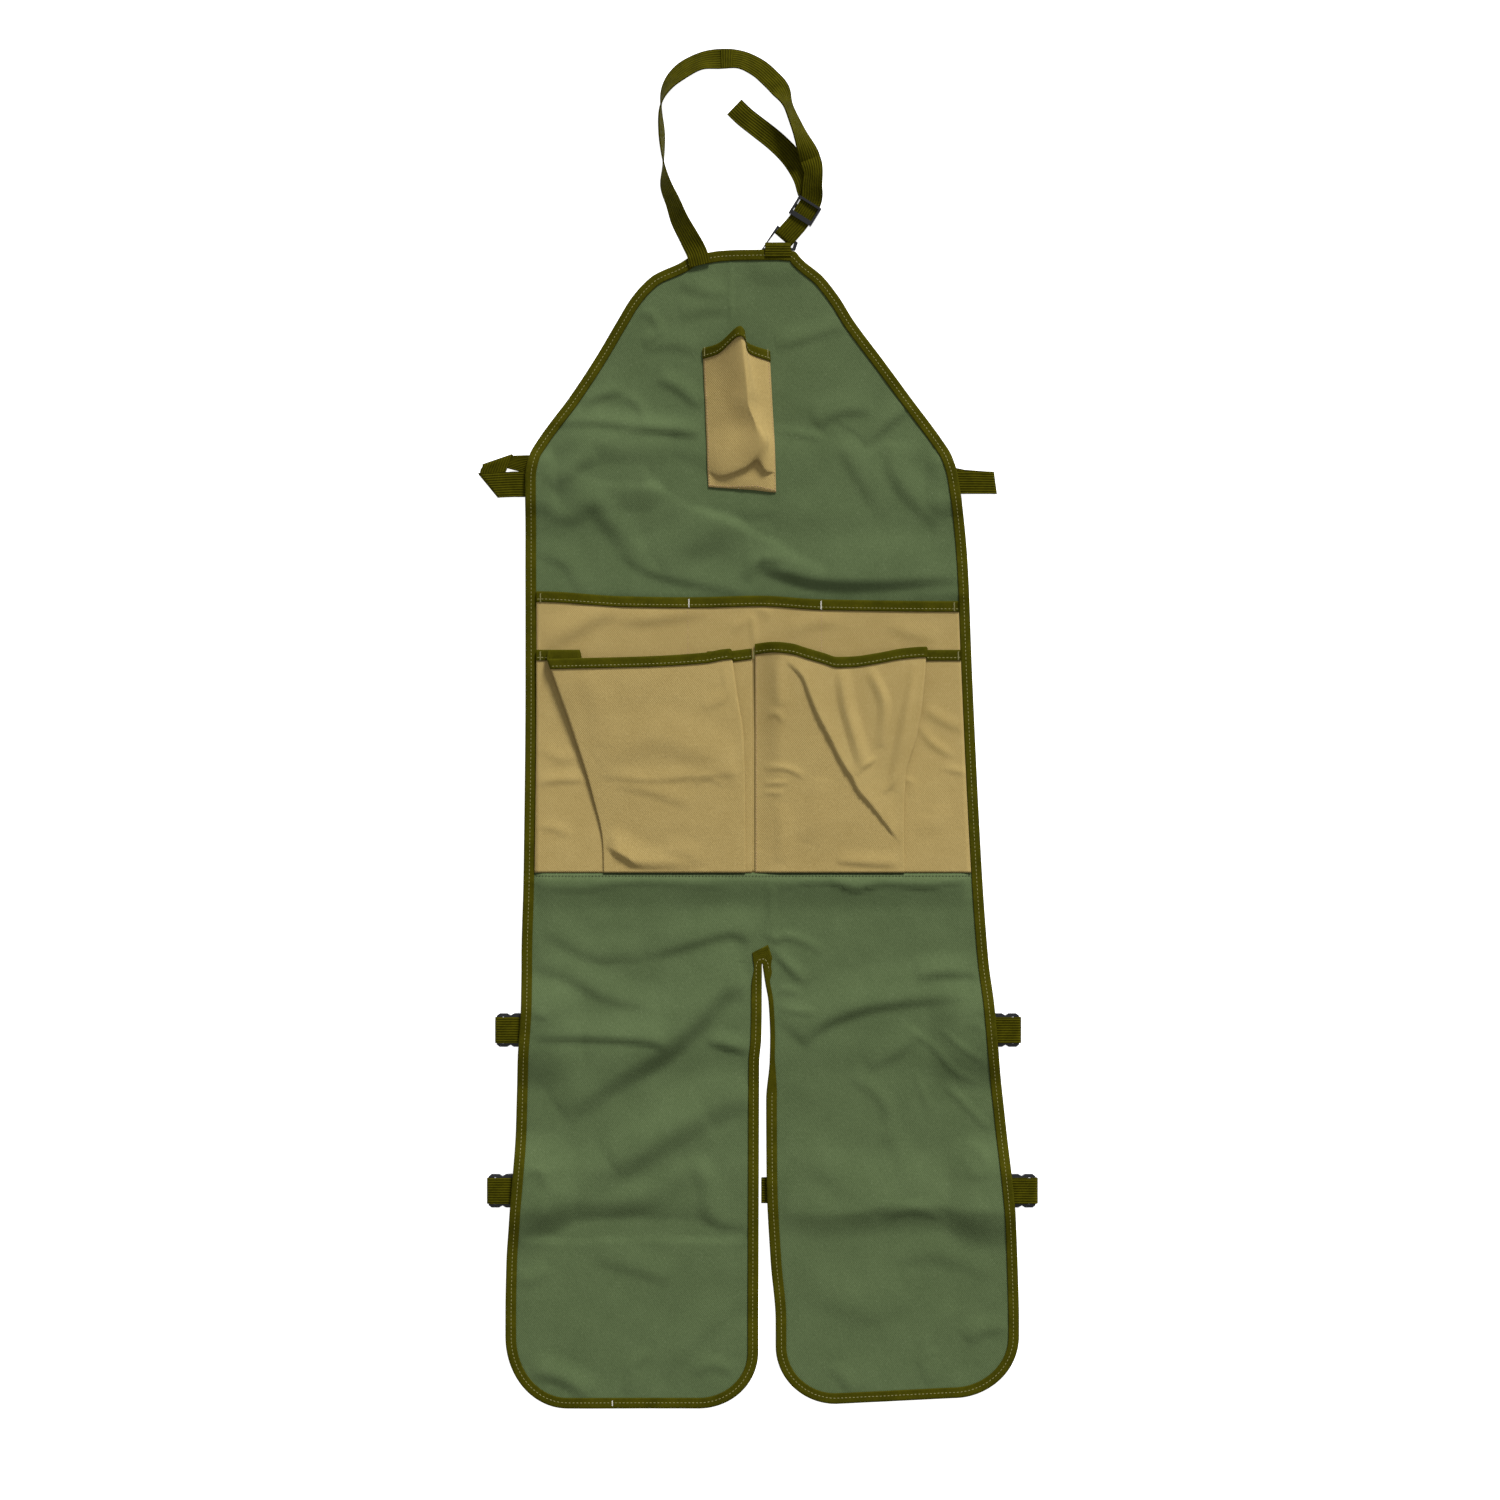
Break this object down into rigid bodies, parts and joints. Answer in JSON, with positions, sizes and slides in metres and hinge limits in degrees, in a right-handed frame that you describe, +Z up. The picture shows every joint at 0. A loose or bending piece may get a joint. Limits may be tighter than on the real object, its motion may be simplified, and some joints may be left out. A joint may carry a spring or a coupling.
{
  "type": "gardening apron",
  "caption": "Long split-leg work apron lying flat, with a bib, a neck loop on a slider, a ridged chest pocket, three waist pockets, side straps and leg straps.",
  "frame": {"origin": "centre of the bounding box's footprint, on the surface that the apron lies on", "axes": "+X to the right as seen from above, +Y from the hems towards the bib and neck loop, +Z up off the surface, so that the pockets face up"},
  "size_m": [0.5356, 1.3032, 0.0295],
  "materials": {
    "body_cloth": "matt twill cotton canvas, soft green",
    "pocket_cloth": "matt twill cotton canvas, tan",
    "tape": "matt woven binding tape, olive",
    "webbing": "ribbed flat webbing, olive",
    "buckle_plastic": "moulded black plastic",
    "slider_plastic": "moulded black plastic",
    "ring_wire": "black coated wire"
  },
  "bodies": {
    "root": {"body_panel": "body_cloth", "edge_binding": "tape", "chest_pocket": "pocket_cloth", "chest_pocket_binding": "tape", "upper_pocket": "pocket_cloth", "upper_pocket_binding": "tape", "left_pocket": "pocket_cloth", "left_pocket_binding": "tape", "right_pocket": "pocket_cloth", "right_pocket_binding": "tape", "neck_strap": "webbing", "neck_slider": "slider_plastic", "neck_ring": "ring_wire", "ring_tab": "webbing", "waist_strap_left": "webbing", "waist_strap_right": "webbing", "waist_socket": "buckle_plastic", "waist_plug": "buckle_plastic", "left_leg_upper_tab": "webbing", "left_leg_upper_strap": "webbing", "left_leg_upper_socket": "buckle_plastic", "left_leg_upper_plug": "buckle_plastic", "left_leg_lower_tab": "webbing", "left_leg_lower_strap": "webbing", "left_leg_lower_socket": "buckle_plastic", "left_leg_lower_plug": "buckle_plastic", "right_leg_upper_tab": "webbing", "right_leg_upper_strap": "webbing", "right_leg_upper_socket": "buckle_plastic", "right_leg_upper_plug": "buckle_plastic", "right_leg_lower_tab": "webbing", "right_leg_lower_strap": "webbing", "right_leg_lower_socket": "buckle_plastic", "right_leg_lower_plug": "buckle_plastic"}
  },
  "joints": []
}
